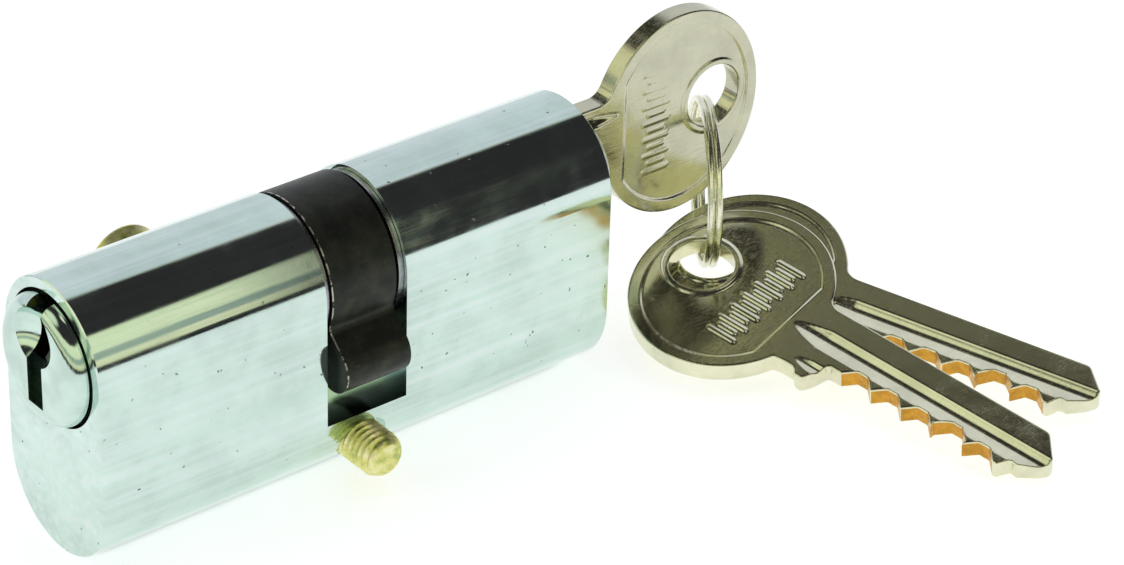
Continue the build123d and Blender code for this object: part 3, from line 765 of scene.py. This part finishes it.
class KeyPlan:
    """A key's outline, hole and inner points in its own plane, in mm.

    U runs along the blade from the bow's middle, V towards the blade's uncut edge.
    """

    bow = (11.0, 12.0)
    hole = (-4.7, 0.55, 3.65)
    top_v = 4.4
    low_v = -2.6
    tip_u = 41.9
    neck = 2.0
    first_cut = 19.1
    pitch = 4.0
    flat = 1.3
    depths = (1.3, 1.3, 1.3, 2.0, 1.4)
    grid = 0.16

    def __init__(self, edge):
        self.edge = edge
        self.outline = dense(self.corners(), 0.24)
        u, v, r = self.hole
        around = numpy.linspace(0, 2 * math.pi, 96, endpoint=False)
        self.rim = numpy.stack([u + r * numpy.cos(around), v + r * numpy.sin(around)], 1)
        self.fill()

    def corners(self):
        """The outline's corners, anticlockwise from the neck's upper fillet."""
        a, b = self.bow
        sweep = numpy.linspace(0, math.pi / 2, 721)
        arc = numpy.stack([a * numpy.cos(sweep), b * numpy.sin(sweep)], 1)
        lows, highs = 10.0, 16.0
        for _ in range(40):
            middle = (lows + highs) / 2
            away = numpy.hypot(*(arc - (middle, self.top_v + self.neck)).T)
            lows, highs = (middle, highs) if away.min() < self.neck else (lows, middle)
        touch = int(away.argmin())
        centre = numpy.array((middle, self.top_v + self.neck))
        start = math.atan2(*(arc[touch] - centre)[::-1]) % (2 * math.pi)
        turn = numpy.linspace(1.5 * math.pi, start, 12)
        fillet = centre + self.neck * numpy.stack([numpy.cos(turn), numpy.sin(turn)], 1)
        under = 2 * math.pi - math.asin(5.17 / b)
        bend = numpy.linspace(sweep[touch], under, 240)[1:]
        bow = numpy.stack([a * numpy.cos(bend), b * numpy.sin(bend)], 1)
        blade = [((11.2, -5.0), 0.5), ((12.65, -5.0), 0.3), ((13.25, -5.75), 0.4), ((14.25, -5.75), 0.4)]
        blade += [((14.95, -4.4), 0.3), ((15.5, self.low_v), 0.3)]
        for index, depth in enumerate(self.depths):
            middle = self.first_cut + index * self.pitch
            flank = min(depth, (self.pitch - self.flat) / 2)
            wide = self.flat / 2
            floor = self.low_v + depth
            blade += [((middle - wide - flank, floor - flank), 0.05), ((middle - wide, floor), 0.15)]
            blade += [((middle + wide, floor), 0.15), ((middle + wide + flank, floor - flank), 0.05)]
        t = self.tip_u
        blade += [((t - 4.3, self.low_v), 0.1), ((t - 3.4, -1.2), 0.2), ((t - 2.6, -1.35), 0.2)]
        blade += [((t - 0.7, 0.0), 0.5), ((t, 0.9), 0.4), ((t, 1.6), 0.4), ((t - 2.4, self.top_v), 0.5)]
        points = [numpy.array(corner) for corner, _ in blade]
        around = [bow[-1], *points, fillet[0]]
        turned = []
        for before, here, after, (_, radius) in zip(around, points, around[2:], blade):
            reach = min(radius, numpy.hypot(*(here - before)) * 0.45, numpy.hypot(*(after - here)) * 0.45)
            enter = here + (before - here) / numpy.hypot(*(before - here)) * reach
            leave = here + (after - here) / numpy.hypot(*(after - here)) * reach
            for s in (0.0, 0.25, 0.5, 0.75, 1.0):
                turned.append(enter * (1 - s) ** 2 + here * 2 * s * (1 - s) + leave * s**2)
        return numpy.concatenate([fillet, bow, numpy.array(turned)])

    def to_edge(self, points):
        """Distance of each point from the outline or the hole, positive inside the metal."""
        ends = numpy.roll(self.outline, -1, 0)
        run = ends - self.outline
        squared = (run**2).sum(1)
        nearest = numpy.full(len(points), 1e9)
        inside = numpy.zeros(len(points), bool)
        for start, end, step, length in zip(self.outline, ends, run, squared):
            away = points - start
            along = numpy.clip((away @ step) / length, 0, 1)
            nearest = numpy.minimum(nearest, ((away - along[:, None] * step) ** 2).sum(1))
            crosses = (start[1] > points[:, 1]) != (end[1] > points[:, 1])
            if start[1] != end[1]:
                meet = start[0] + (points[:, 1] - start[1]) * step[0] / step[1]
                inside ^= crosses & (points[:, 0] < meet)
        distance = numpy.where(inside, 1, -1) * numpy.sqrt(nearest)
        u, v, r = self.hole
        return numpy.minimum(distance, numpy.hypot(points[:, 0] - u, points[:, 1] - v) - r)

    def fill(self):
        """Points and triangles over the flat shape."""
        across = numpy.arange(-self.bow[0], self.tip_u, self.grid)
        upward = numpy.arange(-self.bow[1], self.bow[1], self.grid)
        field = numpy.stack(numpy.meshgrid(across, upward), -1).reshape(-1, 2)
        field = field[self.to_edge(field) > self.edge + 0.07]
        before, after = numpy.roll(self.outline, 1, 0), numpy.roll(self.outline, -1, 0)
        along = after - before
        inward = numpy.stack([-along[:, 1], along[:, 0]], 1) / numpy.hypot(*along.T)[:, None]
        u, v, r = self.hole
        outward = (self.rim - (u, v)) / r
        rings = []
        for share in (0.15, 0.4, 0.7, 1.0):
            depth = share * self.edge
            for line, way in ((self.outline, inward), (self.rim, outward)):
                row = line + way * depth
                rings.append(row[numpy.abs(self.to_edge(row) - depth) < 0.2 * depth])
        points = numpy.concatenate([self.outline, self.rim, *rings, field])
        count, holes = len(self.outline), len(self.rim)
        edges = [(i, (i + 1) % count) for i in range(count)]
        edges += [(count + i, count + (i + 1) % holes) for i in range(holes)]
        vectors = [Vector(p) for p in points]
        made, _, faces, came, _, _ = delaunay_2d_cdt(vectors, edges, [], 0, 1e-6)
        self.points = numpy.array([tuple(p) for p in made])
        triangles = numpy.array([tuple(f) for f in faces])
        self.triangles = triangles[self.to_edge(self.points[triangles].mean(1)) > 0]
        place = {old: new for new, olds in enumerate(came) for old in olds}
        self.walls = [(place[a], place[b]) for a, b in edges]
        self.inset = numpy.clip(self.to_edge(self.points), 0, self.edge)

    def height(self, side, thickness, coin, mark, share):
        """Surface height over the key's middle plane at every point, for side 1 or -1."""
        u, v = self.points.T
        edge = self.inset
        height = thickness / 2 - self.edge + numpy.sqrt(self.edge**2 - (self.edge - edge) ** 2)
        a, b = self.bow[0] - 1.5, self.bow[1] - 1.5
        hole = numpy.hypot(u - self.hole[0], v - self.hole[1]) - self.hole[2] - 0.7
        bow = (numpy.hypot(u / a, v / b) - 1) * a
        panel = numpy.maximum.reduce([bow, u - 7.9, -hole, u + numpy.abs(v) * 0.5 - 11.1])
        height -= coin * ease(-panel, -0.16, 0.2)
        lift = numpy.zeros(len(u))
        for row in range(-6, 7):
            # upright bars, every other one short
            long = 1.65 if row % 2 == 0 else 1.0
            along = numpy.clip(u - 3.4, -long, long)
            away = numpy.hypot(u - 3.4 - along, v - row * 1.0)
            lift = numpy.maximum(lift, ease(0.36 - away, 0.0, 0.2))
        height += coin * mark * lift
        for groove in GROOVES[side]:
            height -= share * groove_depth(u, v, *groove)
        return height

    def mesh(self, name, thickness, coin, mark, share, place):
        """A closed key, with slot 1 on the milled cuts, put where place says."""
        top = self.height(1, thickness, coin, mark, share)
        low = -self.height(-1, thickness, coin, mark, share)
        total = len(self.points)
        flat = numpy.column_stack([self.points, top])
        under = numpy.column_stack([self.points, low])
        faces = [tuple(t) for t in self.triangles]
        faces += [(a + total, c + total, b + total) for a, b, c in self.triangles]
        plates = len(faces)
        faces += [(b, a, a + total, b + total) for a, b in self.walls]
        mesh = bpy.data.meshes.new(name)
        mesh.from_pydata([tuple(p) for p in numpy.concatenate([flat, under])], [], faces)
        cut = numpy.zeros(len(faces), int)
        for index, (a, b) in enumerate(self.walls):
            u, v = (self.points[a] + self.points[b]) / 2
            cut[plates + index] = int(17.0 < u < self.tip_u - 4.6 and self.low_v + 0.06 < v < 1.5)
        mesh.polygons.foreach_set("material_index", cut)
        mesh.polygons.foreach_set("use_smooth", numpy.arange(len(faces)) < plates)
        shell = bmesh.new()
        shell.from_mesh(mesh)
        loose = [vert for vert in shell.verts if not vert.link_faces]
        bmesh.ops.delete(shell, geom=loose, context="VERTS")
        bmesh.ops.recalc_face_normals(shell, faces=shell.faces)
        shell.to_mesh(mesh)
        shell.free()
        mesh.transform(place @ Matrix.Scale(MM, 4))
        return mesh


# each groove: middle V, half width, depth, start U, run-in, end U, run-out (mm)
GROOVES = {
    1: ((0.0, 1.5, 0.9, 8.7, 4.2, 99.0, 1.0), (-3.9, 0.75, 0.5, 11.9, 2.0, 18.0, 1.5)),
    -1: ((2.6, 0.7, 0.8, 8.7, 3.0, 99.0, 1.0),),
}


def groove_depth(u, v, middle, half, depth, start, run_in, end, run_out):
    """Depth of a milled groove with a tapered start."""
    enter = numpy.clip((u - start) / run_in, 0, 1)
    leave = numpy.clip((end - u) / run_out, 0, 1)
    wide = half * numpy.sqrt(enter * leave) + 1e-6
    across = numpy.clip((v - middle) / wide, -1, 1)
    # a long slope on the cut side, a steep one on the back side
    return depth * enter * leave * numpy.sin(math.pi * ((across + 1) / 2) ** 1.5)


def ease(value, low, high):
    """Smooth 0 to 1 while value goes from low to high."""
    share = numpy.clip((value - low) / (high - low), 0, 1)
    return share * share * (3 - 2 * share)


def dense(corners, gap):
    """A closed line's points, no further apart than gap."""
    points = []
    for start, end in zip(corners, numpy.roll(corners, -1, 0)):
        length = numpy.hypot(*(end - start))
        if length < 0.02:
            continue
        steps = max(1, math.ceil(length / gap))
        points += [start + (end - start) * step / steps for step in range(steps)]
    return numpy.array(points)


def key_place(origin, along, normal):
    """Matrix that puts a key's own plane at origin (mm)."""
    z = Vector(normal).normalized()
    y = z.cross(Vector(along)).normalized()
    x = y.cross(z)
    spin = Matrix((x, y, z)).transposed().to_4x4()
    return Matrix.Scale(MM, 4) @ Matrix.Translation(origin) @ spin @ Matrix.Scale(1 / MM, 4)


class LOCK_OT_keys(bpy.types.Operator):
    """Three coined and cut keys"""

    bl_idname = "lock.keys"
    bl_label = "Keys"

    def execute(self, context):
        colours, sizes = finish_colours(), piece_sizes()
        nickel = key_plate("key_plate", tuple(colours.nickel))
        # painted shade: the inserted key gets a darker copy of the same nickel plate
        shaded_nickel = key_plate("shaded_key_plate", tuple(c * 0.74 for c in colours.nickel))
        brass = cut_brass("key_brass", tuple(colours.brass), (1, 1, 0.05))
        thickness = sizes.key_thickness / MM
        plan = KeyPlan(sizes.key_edge / MM)
        loose = key_place((48.1, -10.5, -16.6), (0.18, -0.98, -0.105), (-0.24, -0.16, 0.96))
        gap = Matrix.Translation(Vector((-1.8, 4.7, -thickness - 0.35)) * MM)
        places = {
            "inserted_key": key_place((47.7, 0, 1.95), (-1, 0, 0), (0, 1, 0)),
            "loose_key_upper": loose,
            "loose_key_lower": loose @ gap @ Matrix.Rotation(math.radians(11), 4, "Z"),
        }
        for node, place in places.items():
            inserted = node == "inserted_key"
            # strength of the bow's bars and of the grooves
            mark, share = (0.4, 1.0) if inserted else (0.75, 0.5)
            mesh = plan.mesh(f"{node}_coined", thickness, sizes.coin_depth / MM, mark, share, place)
            mesh.materials.append(shaded_nickel if inserted else nickel)
            mesh.materials.append(brass)
            add_piece(f"{node}_coined", mesh, node, node)
        return {"FINISHED"}


class LOCK_OT_ring(bpy.types.Operator):
    """Plated split ring"""

    bl_idname = "lock.ring"
    bl_label = "Split ring"

    def execute(self, context):
        dress(["split_ring"], plain_steel("ring_plate", (0.86, 0.85, 0.68)))
        return {"FINISHED"}


class LOCK_PT_panel(bpy.types.Panel):
    """Buttons for each step"""

    bl_label = "Lock cylinder"
    bl_idname = "LOCK_PT_panel"
    bl_space_type = "VIEW_3D"
    bl_region_type = "UI"
    bl_category = "Lock cylinder"

    def draw(self, context):
        for group in (context.scene.cylinder_sizes, context.scene.cylinder_finish):
            for name in group.bl_rna.properties.keys():
                if name not in ("rna_type", "name"):
                    self.layout.prop(group, name)
        for step in STEPS:
            self.layout.operator(step.bl_idname)


STEPS = (
    LOCK_OT_stage,
    LOCK_OT_housing,
    LOCK_OT_cam,
    LOCK_OT_stacks,
    LOCK_OT_screw,
    LOCK_OT_keys,
    LOCK_OT_ring,
)
CLASSES = (CylinderFinish, CylinderSizes, *STEPS, LOCK_PT_panel)


def register():
    for item in CLASSES:
        bpy.utils.register_class(item)
    bpy.types.Scene.cylinder_finish = bpy.props.PointerProperty(type=CylinderFinish)
    bpy.types.Scene.cylinder_sizes = bpy.props.PointerProperty(type=CylinderSizes)


def unregister():
    del bpy.types.Scene.cylinder_sizes
    del bpy.types.Scene.cylinder_finish
    for item in reversed(CLASSES):
        bpy.utils.unregister_class(item)


def main():
    register()
    for step in STEPS:
        group, action = step.bl_idname.split(".")
        getattr(getattr(bpy.ops, group), action)()


if __name__ == "__main__":
    main()
